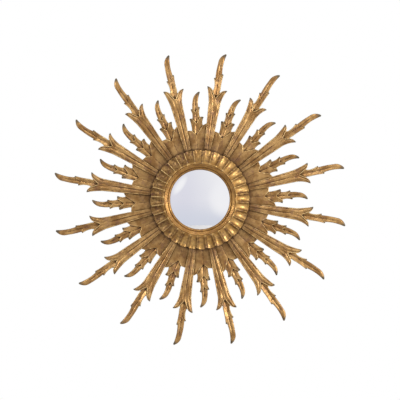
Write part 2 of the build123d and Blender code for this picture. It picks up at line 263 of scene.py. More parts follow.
@dataclass(frozen=True)
class GildedWood(Finish):
    """Gold leaf on red bole over gesso, toned brown, with wear and painted highlights on its edges and
    painted shade in its hollows.

    The leaf gives a broken satin sheen, the bole shows red-purple where wear has gone through, brown
    toner and painted shade stay dark in every hollow, painted highlights lie along the edges, and the
    thin tips have gone grey-green from handling. Sizes are in millimetres. Specks in real leaf are under
    1 mm; they are drawn at 2.4 mm, because finer ones would be lost at the size the mirror is usually seen.
    """

    name: str = "gilded_wood"
    leaf: str = "#B9915A"
    leaf_deep: str = "#8E6738"
    leaf_bright: str = "#D6B880"
    bole: str = "#6E4A40"
    # Dark brown of the painted shade on the ring's flute walls and left shoulder, partly toner.
    shade_umber: str = "#5E3D20"
    # Dark brown of mottles and specks, and of the toner and painted shade in hollows.
    glaze_and_shade: str = "#3A2009"
    tarnish: str = "#403E33"
    raw_back: str = "#8A6A42"
    bole_share: float = 0.45
    shade_and_glaze_share: float = 0.85
    metal_share: float = 0.55
    patch_size: float = 34.0
    mottle_size: float = 7.0
    speck_size: float = 2.4
    mottle_share: float = 0.2
    speck_share: float = 0.18

    def build(self) -> bpy.types.Material:
        """Build the material from the masks that the carved meshes carry."""
        material, tree, shader, coords = self.start()
        times = partial(math_of, tree, "MULTIPLY")
        most = partial(math_of, tree, "MAXIMUM")
        blend = partial(mixed, tree)
        masks = {
            mask: node(tree, "ShaderNodeAttribute", attribute_name=mask.value).outputs["Fac"] for mask in Mask
        }
        patches = grain(tree, coords, self.patch_size, 0.36, 0.64)
        mottle = grain(tree, coords, self.mottle_size, 0.40, 0.72)
        specks = grain(tree, coords, self.speck_size, 0.52, 0.74)
        rubs = grain(tree, coords, self.patch_size * 0.55, 0.50, 0.66, 5.0)

        def by_mottle(start: float, end: float) -> Socket:
            """Share that follows the mottling from one value to another."""
            return between(tree, mottle, 0.0, 1.0, start, end)

        colour = blend(patches, linear(self.leaf), linear(self.leaf_deep))
        colour = blend(times(mottle, self.mottle_share), colour, linear(self.glaze_and_shade))
        # Painted shade, partly toner, on the ring's flute walls and left shoulder.
        shade_and_glaze = times(times(masks[Mask.SHADE_AND_GLAZE], by_mottle(0.6, 1.0)), self.shade_and_glaze_share)
        colour = blend(shade_and_glaze, colour, linear(self.shade_umber))
        showing = times(rubs, self.bole_share)
        colour = blend(showing, colour, linear(self.bole))
        # Edges lighter: wear on the gilding with a painted highlight.
        worn_and_highlight = times(between(tree, masks[Mask.EDGE], 0.15, 0.8), by_mottle(0.9, 0.4))
        colour = blend(worn_and_highlight, colour, linear(self.leaf_bright))
        # Brown toner and painted shade in hollows, on steep faces and in the ring's painted shadow.
        hollow_glaze_and_shade = times(between(tree, masks[Mask.RECESS], 0.05, 0.8), by_mottle(0.8, 1.0))
        colour = blend(hollow_glaze_and_shade, colour, linear(self.glaze_and_shade))
        colour = blend(times(specks, self.speck_share), colour, linear(self.glaze_and_shade))
        tips = times(masks[Mask.TIP], by_mottle(0.9, 0.6))
        colour = blend(tips, colour, linear(self.tarnish))
        colour = blend(masks[Mask.BACK], colour, linear(self.raw_back))
        dull = most(most(hollow_glaze_and_shade, tips), masks[Mask.BACK])
        dull = most(dull, times(most(showing, shade_and_glaze), 0.7))
        relief = math_of(tree, "ADD", grain(tree, coords, 4.5, 0.2, 0.8), times(specks, 0.35))
        feed(tree, shader, {
            "Base Color": colour,
            "Metallic": between(tree, dull, 0.0, 1.0, self.metal_share, 0.05),
            "Roughness": math_of(tree, "ADD", by_mottle(0.36, 0.5), times(dull, 0.22)),
            "Specular IOR Level": 0.3,
            "Normal": bumped(tree, relief, 0.4, 0.3),
        })
        return material


@dataclass(frozen=True)
class SilveredGlass(Finish):
    """Convex glass silvered on its back: a bright, faintly lilac-grey mirror with a little age."""

    name: str = "silvered_glass"
    silver: str = "#F2F2F4"
    aged: str = "#ECECF1"

    def build(self) -> bpy.types.Material:
        """Build the mirror."""
        material, tree, shader, coords = self.start()
        cloud = grain(tree, coords, 140.0, 0.2, 0.9, 1.0)
        feed(tree, shader, {
            "Base Color": mixed(tree, cloud, linear(self.silver), linear(self.aged)),
            "Metallic": 1.0,
            "Roughness": between(tree, cloud, 0.0, 1.0, 0.012, 0.03),
        })
        return material


@dataclass(frozen=True)
class Felt(Finish):
    """Dark wool felt: matted fibres with no gloss and a soft sheen.

    The fibres are drawn 1.6 mm wide, far coarser than real wool, so that they can be seen at all.
    """

    name: str = "wool_felt"
    wool: str = "#3A3733"
    lint: str = "#57534C"

    def build(self) -> bpy.types.Material:
        """Build the felt."""
        material, tree, shader, coords = self.start()
        fibres = grain(tree, coords, 1.6, 0.35, 0.7, 5.0)
        feed(tree, shader, {
            "Base Color": mixed(tree, fibres, linear(self.wool), linear(self.lint)),
            "Roughness": 0.95,
            "Sheen Weight": 0.4,
            "Normal": bumped(tree, fibres, 0.8, 0.4),
        })
        return material


@dataclass(frozen=True)
class Plywood(Finish):
    """Bare birch plywood: pale face grain along one way and thin dark glue lines on the edges."""

    name: str = "birch_plywood"
    birch: str = "#C9A878"
    grain_line: str = "#A98455"
    glue: str = "#7A5A38"
    ply_thick: float = 2.7

    def build(self) -> bpy.types.Material:
        """Build the plywood."""
        material, tree, shader, coords = self.start()
        lines = grain(tree, coords, 7.0, 0.35, 0.7, 6.0, stretch=(1.0, 1.0, 0.06))
        faded = math_of(tree, "MULTIPLY", lines, 0.7)
        colour = mixed(tree, faded, linear(self.birch), linear(self.grain_line))
        place = node(tree, "ShaderNodeSeparateXYZ", {0: coords})
        layer = node(tree, "ShaderNodeMath", {0: place.outputs["Y"], 1: self.ply_thick * MM},
                     operation="DIVIDE")
        share = node(tree, "ShaderNodeMath", {0: layer.outputs[0]}, operation="FRACT")
        ply = node(tree, "ShaderNodeMath", {0: share.outputs[0], 1: 0.86}, operation="GREATER_THAN")
        normal = node(tree, "ShaderNodeNewGeometry")
        facing = node(tree, "ShaderNodeSeparateXYZ", {0: normal.outputs["True Normal"]})
        flat = node(tree, "ShaderNodeMath", {0: facing.outputs["Y"]}, operation="ABSOLUTE")
        side = between(tree, flat.outputs[0], 0.3, 0.7, 1.0, 0.0)
        colour = mixed(tree, math_of(tree, "MULTIPLY", ply.outputs[0], side), colour, linear(self.glue))
        feed(tree, shader, {"Base Color": colour, "Roughness": 0.7, "Normal": bumped(tree, lines, 0.3, 0.2)})
        return material


@dataclass(frozen=True)
class Hardboard(Finish):
    """Brown pressed hardboard: short dark fibres under a faint press sheen.

    The fibre bundles are drawn 2.4 mm wide, coarser than real ones.
    """

    name: str = "pressed_hardboard"
    board: str = "#7B5A3A"
    fibre: str = "#5B3F27"

    def build(self) -> bpy.types.Material:
        """Build the hardboard."""
        material, tree, shader, coords = self.start()
        fibres = grain(tree, coords, 2.4, 0.38, 0.68, 5.0)
        clouds = grain(tree, coords, 45.0, 0.3, 0.8)
        colour = mixed(tree, math_of(tree, "MULTIPLY", fibres, 0.8), linear(self.board), linear(self.fibre))
        colour = mixed(tree, math_of(tree, "MULTIPLY", clouds, 0.3), colour, linear(self.fibre))
        feed(tree, shader, {
            "Base Color": colour,
            "Roughness": between(tree, fibres, 0.0, 1.0, 0.5, 0.72),
            "Normal": bumped(tree, fibres, 0.25, 0.15),
        })
        return material


@dataclass(frozen=True)
class PlainMetal(Finish):
    """Rolled or plated small hardware: fine drawing lines, dull spots and handling marks.

    The drawing lines are 1.4 mm wide, coarser than real ones, which are too fine to see.
    """

    name: str = "zinc_plated_steel"
    bright: str = "#B9BCBE"
    dull: str = "#8E9194"
    roughness: float = 0.34

    def build(self) -> bpy.types.Material:
        """Build the metal."""
        material, tree, shader, coords = self.start()
        lines = grain(tree, coords, 1.4, 0.3, 0.7, 4.0, stretch=(1.0, 1.0, 0.12))
        spots = grain(tree, coords, 5.0, 0.45, 0.7)
        dulled = math_of(tree, "MULTIPLY", spots, 0.7)
        feed(tree, shader, {
            "Base Color": mixed(tree, dulled, linear(self.bright), linear(self.dull)),
            "Metallic": 1.0,
            "Roughness": math_of(tree, "ADD", math_of(tree, "MULTIPLY", lines, 0.12), self.roughness),
            "Normal": bumped(tree, lines, 0.15, 0.05),
        })
        return material


@dataclass(frozen=True)
class Finishes:
    """Every finish of the mirror."""

    rays: bpy.types.Material
    ring: bpy.types.Material
    sight: bpy.types.Material
    glass: bpy.types.Material
    felt: bpy.types.Material
    plywood: bpy.types.Material
    hardboard: bpy.types.Material
    brass: bpy.types.Material
    steel: bpy.types.Material

    @classmethod
    def build(cls) -> "Finishes":
        """Build all the materials once."""
        return cls(
            rays=GildedWood(name="gilded_rays").build(),
            # The ring's finish: darker painted shade, partly toner, on its flute walls and left shoulder.
            ring=GildedWood(
                name="gilded_ring", leaf="#D6AC6A", leaf_deep="#BA8E4E", bole="#5E3A38", shade_umber="#4E3014",
                bole_share=0.5, shade_and_glaze_share=0.92, metal_share=0.6, patch_size=24.0,
            ).build(),
            sight=GildedWood(
                name="gilded_sight_ring", leaf="#B98C4C", leaf_deep="#9A6F38", leaf_bright="#D6B272",
                bole_share=0.35, metal_share=0.5, patch_size=24.0,
            ).build(),
            glass=SilveredGlass().build(),
            felt=Felt().build(),
            plywood=Plywood().build(),
            hardboard=Hardboard().build(),
            brass=PlainMetal(name="rolled_brass", bright="#C9A45C", dull="#A07F42", roughness=0.3).build(),
            steel=PlainMetal().build(),
        )


# Carved relief

def run_along(points: tuple[Point, ...], count: int) -> np.ndarray:
    """Evenly spaced places along an edge.

    Args:
        points: (u, v) corners; a third number bows the stretch that arrives there to its left.
        count: number of places.

    Returns:
        Array of (u, v) places.
    """
    dense = [np.array(points[0][:2], float)]
    for start, end in zip(points, points[1:]):
        first, last = np.array(start[:2], float), np.array(end[:2], float)
        bow = end[2] if len(end) > 2 else 0.0
        along = last - first
        left = np.array([-along[1], along[0]]) / max(np.hypot(*along), 1e-9)
        for share in np.linspace(0, 1, 17)[1:]:
            dense.append(first + along * share + left * 4 * bow * share * (1 - share))
    dense = np.array(dense)
    reach = np.concatenate([[0], np.cumsum(np.hypot(*np.diff(dense, axis=0).T))])
    wanted = np.linspace(0, reach[-1], count)
    return np.stack([np.interp(wanted, reach, dense[:, axis]) for axis in (0, 1)], axis=1)


def height_across(section: Section, shares: np.ndarray) -> np.ndarray:
    """Heights of a cross-section, with its corners eased.

    Args:
        section: (share, height) corners from the outer edge to the inner one.
        shares: where the heights are wanted, from nought to one.

    Returns:
        One height for each share.
    """
    places, heights = zip(*section)
    reach = 0.02
    shifts = (-reach, 0.0, reach)
    return sum(np.interp(np.clip(shares + shift, 0, 1), places, heights) for shift in shifts) / len(shifts)


@dataclass(frozen=True)
class Lobe:
    """One carved lobe, between an outer and an inner edge that run from its root to its end.

    Args:
        outer: the edge away from the ray's middle.
        inner: the edge along the ray's middle and round the notch.
        crest: (u, depth) of the lobe's highest line.
        root: cross-section near the root, as heights from the crest.
        end: cross-section near the end.
        change: shares of the length between which the root's section becomes the end's.
        hollowed: how far the back rises towards the end.
        dip: how far the front falls at the very end.
        rows: places along the lobe.
        columns: places across it.
    """

    outer: tuple[Point, ...]
    inner: tuple[Point, ...]
    crest: tuple[tuple[float, float], ...]
    root: Section
    end: Section
    change: tuple[float, float] = (0.5, 0.8)
    hollowed: float = 0.0
    dip: float = 2.0
    rows: int = 120
    columns: int = 30

    def shell(self, back: "RayBack") -> tuple[np.ndarray, list[tuple[int, ...]]]:
        """Closed shell of the lobe.

        Args:
            back: the plane that the ray's back lies in.

        Returns:
            Points (u, v, depth) in millimetres and the faces between them.
        """
        outer = run_along(self.outer, self.rows)
        inner = run_along(self.inner, self.rows)
        along = np.linspace(0, 1, self.rows)[:, None]
        across = np.linspace(0, 1, self.columns)[None, :]
        front_uv = outer[:, None, :] + (inner - outer)[:, None, :] * across[:, :, None]
        relief_root = height_across(self.root, across[0])[None, :]
        relief_end = height_across(self.end, across[0])[None, :]
        blend = smoothstep(*self.change, along)
        width = np.hypot(*(inner - outer).T)[:, None]
        full = np.clip(width / max(width.max() * 0.35, 1e-6), 0.25, 1.0)
        relief = (relief_root * (1 - blend) + relief_end * blend) * full
        crest_u, crest_depth = zip(*self.crest)
        front = np.interp(front_uv[:, :, 0], crest_u, crest_depth) + relief
        front = front - self.dip * smoothstep(0.9, 1.0, along)
        tapered = 0.1 + 0.9 * across
        back_uv = outer[:, None, :] + (inner - outer)[:, None, :] * tapered[:, :, None]
        rear = back.depth(back_uv[:, :, 0]) + self.hollowed * smoothstep(0.6, 1.0, along)
        rear = np.minimum(rear, front - 3.0)
        points = np.concatenate([
            np.dstack([front_uv, front]).reshape(-1, 3),
            np.dstack([back_uv, rear]).reshape(-1, 3),
        ])
        return points, shell_faces(self.rows, self.columns)


def shell_faces(rows: int, columns: int) -> list[tuple[int, ...]]:
    """Faces of a closed shell whose front and back are grids of the same size.

    Args:
        rows: places along the grid.
        columns: places across it.

    Returns:
        Corner numbers, with the back grid's numbered after the front's.
    """
    faces = []
    half = rows * columns
    for i in range(rows - 1):
        for j in range(columns - 1):
            a = i * columns + j
            faces.append((a, a + 1, a + columns + 1, a + columns))
            faces.append((half + a, half + a + columns, half + a + columns + 1, half + a + 1))
        a, b = i * columns, i * columns + columns - 1
        faces.append((a, a + columns, half + a + columns, half + a))
        faces.append((b + columns, b, half + b, half + b + columns))
    for j in range(columns - 1):
        a, b = j, (rows - 1) * columns + j
        faces.append((a + 1, a, half + a, half + a + 1))
        faces.append((b, b + 1, half + b + 1, half + b))
    return faces


@dataclass(frozen=True)
class RayBack:
    """Back of every ray: flat on the hub board, then rising gently to the longest tip."""

    hub_front: float = 24.0
    hub_r: float = 185.0
    rise: float = 5.0
    longest_r: float = 457.0

    def depth(self, u: np.ndarray | float) -> np.ndarray | float:
        """Depth of the back at a distance from the centre."""
        return self.hub_front + self.rise * np.maximum(0, (u - self.hub_r) / (self.longest_r - self.hub_r))


@dataclass
class Carving:
    """Points, faces and masks of one carved ray, lying along +X."""

    points: np.ndarray
    faces: np.ndarray
    masks: dict[Mask, np.ndarray]


@dataclass(frozen=True)
class HollowReading:
    """How hollows and edges are told apart on a carved surface.

    Args:
        fine: rounds of smoothing that show fine grooves and edges.
        wide: further rounds that show wide hollows.
        fine_range: depths in millimetres over which a groove turns dark.
        wide_range: the same for wide hollows.
        edge_range: heights over which an edge turns bright.
    """

    fine: int = 6
    wide: int = 34
    fine_range: tuple[float, float] = (0.05, 0.32)
    wide_range: tuple[float, float] = (0.25, 1.5)
    edge_range: tuple[float, float] = (0.08, 0.5)


def spread_masks(points: np.ndarray, faces: np.ndarray, reading: HollowReading) -> dict[Mask, np.ndarray]:
    """Tell hollows, edges and the back of a carved surface apart.

    Args:
        points: corner places in metres.
        faces: four corners of each face.
        reading: how far a hollow or an edge counts.

    Returns:
        Every mask, from nought to one.
    """
    first = faces.ravel()
    second = np.roll(faces, -1, axis=1).ravel()
    degree = np.bincount(first, minlength=len(points)) + np.bincount(second, minlength=len(points))
    degree = np.maximum(degree, 1)

    def eased(values: np.ndarray, rounds: int) -> np.ndarray:
        """Average each corner's value with its neighbours' a number of times."""
        for _ in range(rounds):
            total = np.zeros_like(values)
            for axis in range(values.shape[1]):
                total[:, axis] = (
                    np.bincount(first, values[second, axis], minlength=len(values))
                    + np.bincount(second, values[first, axis], minlength=len(values))
                )
            values = 0.5 * values + 0.5 * total / degree[:, None]
        return values

    normals = corner_normals(points, faces)
    near = eased(points, reading.fine)
    far = eased(near, reading.wide)
    sharp = np.einsum("ij,ij->i", near - points, normals) / MM
    broad = np.einsum("ij,ij->i", far - points, normals) / MM
    front = np.clip(-normals[:, 1] * 1.6, 0, 1)
    # Hollows found here take brown toner and painted shade.
    recess = np.clip(smoothstep(*reading.wide_range, broad) + smoothstep(*reading.fine_range, sharp), 0, 1)
    # Edges facing the front get more of the painted highlight.
    edge = np.clip(smoothstep(*reading.edge_range, -sharp), 0, 1) * (1 - recess) * (0.35 + 0.65 * front)
    masks = {Mask.RECESS: recess, Mask.EDGE: edge}
    masks = {mask: eased(values[:, None], 1)[:, 0] for mask, values in masks.items()}
    masks[Mask.BACK] = smoothstep(0.55, 0.85, normals[:, 1])
    masks[Mask.TIP] = np.zeros(len(points))
    masks[Mask.SHADE_AND_GLAZE] = np.zeros(len(points))
    return masks


def corner_normals(points: np.ndarray, faces: np.ndarray) -> np.ndarray:
    """Outward direction at each corner of a mesh of four-sided faces."""
    across = np.cross(points[faces[:, 2]] - points[faces[:, 0]], points[faces[:, 3]] - points[faces[:, 1]])
    normals = np.zeros_like(points)
    for corner in range(faces.shape[1]):
        for axis in range(3):
            normals[:, axis] += np.bincount(faces[:, corner], across[:, axis], minlength=len(points))
    return normals / (np.linalg.norm(normals, axis=1, keepdims=True) + 1e-12)


def corners_of(mesh: bpy.types.Mesh) -> np.ndarray:
    """Places of a mesh's corners, one row each."""
    places = np.empty(len(mesh.vertices) * 3)
    mesh.vertices.foreach_get("co", places)
    return places.reshape(-1, 3)


def set_masks(mesh: bpy.types.Mesh, masks: dict[Mask, np.ndarray]) -> None:
    """Write masks into a mesh as attributes of its corners."""
    for mask, values in masks.items():
        layer = mesh.attributes.new(mask.value, "FLOAT", "POINT")
        layer.data.foreach_set("value", np.asarray(values, np.float32))


@dataclass
class CarvedRays:
    """A set of carved rays of one kind, evenly spread round the mirror."""

    material: bpy.types.Material
    count: int = 16
    voxel: float = 1.15
    swell: float = 0.4
    foot_r: float = 153.5
    hand_wobble: float = 0.5
    wave_count: int = 7
    wave_length: float = 26.0
    back: RayBack = field(default_factory=RayBack)
    kind: str = "ray"
    first_angle: float = 0.0
    seed: int = 1

    def lobes(self) -> list[Lobe]:
        """Lobes of one ray."""
        raise NotImplementedError

    def tips(self) -> list[tuple[float, float, float]]:
        """Ends that have gone dark, as (u, v, how far the dark reaches)."""
        raise NotImplementedError

    def carve(self) -> Carving:
        """Join the lobes of one ray into a single closed surface.

        Returns:
            The ray, lying along +X.
        """
        points, faces = [], []
        for lobe in self.lobes():
            shell, shell_corners = lobe.shell(self.back)
            offset = sum(len(p) for p in points)
            points.append(shell)
            faces += [tuple(corner + offset for corner in face) for face in shell_corners]
        placed = np.concatenate(points) * MM
        placed = np.stack([placed[:, 0], -placed[:, 2], -placed[:, 1]], axis=1)
        block = mesh_object(f"{self.kind}_block", placed, faces, self.material)
        join = block.modifiers.new("join", "REMESH")
        join.mode = "VOXEL"
        join.voxel_size = self.voxel * MM
        mesh = applied(block)
        corners = corners_of(mesh)
        quads = np.array([tuple(face.vertices) for face in mesh.polygons])
        bpy.data.objects.remove(block)
        masks = spread_masks(corners, quads, HollowReading())
        u, v = corners[:, 0] / MM, -corners[:, 2] / MM
        masks[Mask.TIP] = np.max([
            smoothstep(reach, reach * 0.2, np.hypot(u - tip_u, v - tip_v))
            for tip_u, tip_v, reach in self.tips()
        ], axis=0)
        # Steep faces turned away from the front get painted shade through the recess mask.
        facing = -corner_normals(corners, quads)[:, 1]
        sides = 0.6 * smoothstep(0.5, 0.15, np.abs(facing))
        # Painted shadow of the fluted ring over the rays next to it, with a little toner in the junction.
        ring_shadow = (0.2 * smoothstep(self.foot_r + 8, self.foot_r, u)
                + 0.42 * smoothstep(self.foot_r + 80, self.foot_r, u))
        masks[Mask.RECESS] = np.clip(np.maximum(masks[Mask.RECESS], np.maximum(sides, ring_shadow)), 0, 1)
        # No painted highlight inside the ring's painted shadow.
        masks[Mask.EDGE] = masks[Mask.EDGE] * (1 - np.clip(ring_shadow, 0, 1))
        seated = smoothstep(self.back.hub_r + 8, self.back.hub_r + 1, u)
        corners = corners + corner_normals(corners, quads) * (self.swell * MM * (1 - seated))[:, None]
        return Carving(corners, quads, masks)

    def hand_cut(self, points: np.ndarray, number: int) -> np.ndarray:
        """Move a ray's points a little, so that no two rays are cut quite alike.

        Args:
            points: places along +X, in metres.
            number: the ray's number, which seeds the change.

        Returns:
            The moved places.
        """
        chance = np.random.default_rng(self.seed * 100 + number)
        u, depth, v = points[:, 0] / MM, -points[:, 1] / MM, points[:, 2] / MM
        free = smoothstep(165, 260, u)
        change = np.zeros((len(points), 3))
        for _ in range(self.wave_count):
            waves = chance.normal(0, 1 / self.wave_length, 2)
            phase = chance.uniform(0, 2 * math.pi, 3)
            for axis in range(3):
                change[:, axis] += np.sin(u * waves[0] + v * waves[1] * 2 + phase[axis]) / self.wave_count
        change[:, 0] *= self.hand_wobble * free
        change[:, 2] *= self.hand_wobble * 1.6 * free
        standing = smoothstep(self.back.hub_front + 4, self.back.hub_front + 12, depth)
        change[:, 1] *= self.hand_wobble * 1.2 * standing * free
        return points + change * MM

    def build(self) -> list[bpy.types.Object]:
        """Make, place and dress every ray of this kind."""
        carving = self.carve()
        made = []
        for number in range(1, self.count + 1):
            angle = math.radians(self.first_angle - 360 / self.count * (number - 1))
            cut = self.hand_cut(carving.points, number)
            turned = np.stack([
                cut[:, 0] * math.cos(angle) - cut[:, 2] * math.sin(angle),
                cut[:, 1],
                cut[:, 0] * math.sin(angle) + cut[:, 2] * math.cos(angle),
            ], axis=1)
            name = f"{self.kind}_{number:02d}"
            piece = mesh_object(f"carved_{name}", turned, carving.faces.tolist(), self.material)
            set_masks(piece.data, carving.masks)
            dress(piece, [name])
            made.append(piece)
        return made


@dataclass
class LongRays(CarvedRays):
    """Long rays: a ribbed stem that parts into two claws, a blade with barbs and a curved finger."""

    kind: str = "long_ray"
    first_angle: float = 103.9
    seed: int = 3
    root_r: float = 113.4
    ring_seat: float = 40.0
    ring_edge_r: float = 155.2
    stem_crest: float = 47.0
    claw_r: float = 345.0
    small_r: float = 389.0
    tip_r: float = 457.0
    level: Section = ((0, 0), (1, 0))
    left_rib: Section = (
        (0, -3.0), (0.05, -1.0), (0.11, -0.8), (0.19, -3.2), (0.3, -1.6), (0.52, -0.1),
        (0.7, -0.3), (0.87, -2.0), (0.97, -4.8), (1, -5.0),
    )
    right_rib: Section = (
        (0, -3.0), (0.06, -1.0), (0.13, -0.9), (0.22, -3.0), (0.34, -1.4), (0.46, -0.8),
        (0.54, -2.2), (0.62, -0.8), (0.78, -0.4), (0.9, -2.4), (0.98, -4.6), (1, -4.8),
    )
    claw_relief: Section = (
        (0, -3.4), (0.08, -1.2), (0.2, -2.8), (0.4, -1.2), (0.52, -0.1), (0.62, -1.6),
        (0.8, -3.4), (0.92, -1.0), (1, -2.6),
    )
    facet: Section = ((0, -2.0), (0.07, -0.2), (0.16, 0.0), (0.3, -1.0), (0.93, -4.6), (1, -4.8))
    barb: Section = ((0, -2.2), (0.1, -0.4), (0.3, -1.6), (0.7, -2.6), (0.92, -1.2), (1, -2.0))
    gouged: Section = (
        (0, -2.4), (0.1, -0.5), (0.24, 0.0), (0.4, -0.8), (0.54, -2.8), (0.66, -1.6),
        (0.84, -0.5), (0.93, -0.9), (1, -2.6),
    )
    rounded: Section = (
        (0, -3.6), (0.12, -1.8), (0.32, -0.6), (0.5, 0.0), (0.68, -0.6), (0.88, -1.8), (1, -3.6),
    )

    def tips(self) -> list[tuple[float, float, float]]:
        """Ends of the claws, the barbs and the finger."""
        return [
            (self.claw_r + 5.5, -30.2, 13.0), (self.claw_r - 0.5, 33.8, 13.0),
            (self.small_r - 9.5, -13.6, 8.0), (self.small_r + 4, 14.4, 8.0),
            (self.tip_r, 13.4, 19.0),
        ]

    def lobes(self) -> list[Lobe]:
        """Root, two ribs with their claws, two halves of the blade, and the finger."""
        claw, small, tip = self.claw_r, self.small_r, self.tip_r
        start, crest = self.ring_edge_r, self.stem_crest
        groove = 0.8
        knee_r = 240
        stem = partial(
            Lobe, end=self.claw_relief, change=(0.5, 0.78), hollowed=9.0, rows=190, columns=34,
            crest=((start, crest), (claw - 50, crest - 1.0), (claw - 10, crest + 0.2),
                   (claw + 8, crest + 0.5)),
        )
        blade = partial(
            Lobe, root=self.facet, end=self.barb, change=(0.72, 0.9), hollowed=3.0, dip=1.0,
            crest=((claw - 46, crest - 5), (claw + 10, crest - 4.5), (small + 10, crest - 3.2)),
        )
        root = Lobe(
            outer=((self.root_r, -10), (start + 1, -10)),
            inner=((self.root_r, 10), (start + 1, 10)),
            crest=((self.root_r, self.ring_seat), (start + 1, self.ring_seat)),
            root=self.level, end=self.level, dip=0.0, rows=30, columns=14,
        )
        left_claw = stem(
            outer=((start, -10), (knee_r, -15.2), (claw - 45, -18.4), (claw + 5.5, -30.2, 1.2)),
            inner=((start, groove + 0.4), (knee_r, groove + 0.4), (claw - 28, 0.4), (claw - 4, -12.4),
                   (claw + 5.5, -30.2, 2.5)),
            root=self.left_rib,
        )
        right_claw = stem(
            outer=((start, 10), (knee_r, 15.2), (claw - 40, 18.6), (claw - 0.5, 33.8, -2.6)),
            inner=((start, groove - 0.4), (knee_r, groove - 0.4), (claw - 28, -0.4), (claw - 7.5, 14.3),
                   (claw - 0.5, 33.8, -2.3)),
            root=self.right_rib,
        )
        left_blade = blade(
            outer=((claw - 45, -8), (claw - 4, -10.5), (claw + 0.5, -8.8), (small - 9.5, -13.6, 2.3)),
            inner=((claw - 45, 0.4), (small - 17, 0.4), (small - 10, -8.0), (small - 9.5, -13.6)),
        )
        right_blade = blade(
            outer=((claw - 45, 9), (claw - 7.5, 11), (claw + 2, 12.0), (small + 4, 14.4, -1.0)),
            inner=((claw - 45, -0.4), (small - 17, -0.4), (small + 5.5, 9.4), (small + 4, 14.4)),
        )
        finger = Lobe(
            outer=((small - 28, -5.9), (small - 10, -8.6), (small + 36, -7.2, -1.0), (tip + 0.8, 12.2, -6.0)),
            inner=((small - 28, 7.9), (small + 6, 10.0), (tip - 1.4, 15.0, -3.2)),
            crest=((small - 29, crest - 7), (small + 20, crest - 7), (tip + 2, 38.0)),
            root=self.gouged, end=self.rounded, change=(0.52, 0.86), hollowed=2.0, dip=1.5,
            rows=110, columns=26,
        )
        return [root, left_claw, right_claw, left_blade, right_blade, finger]


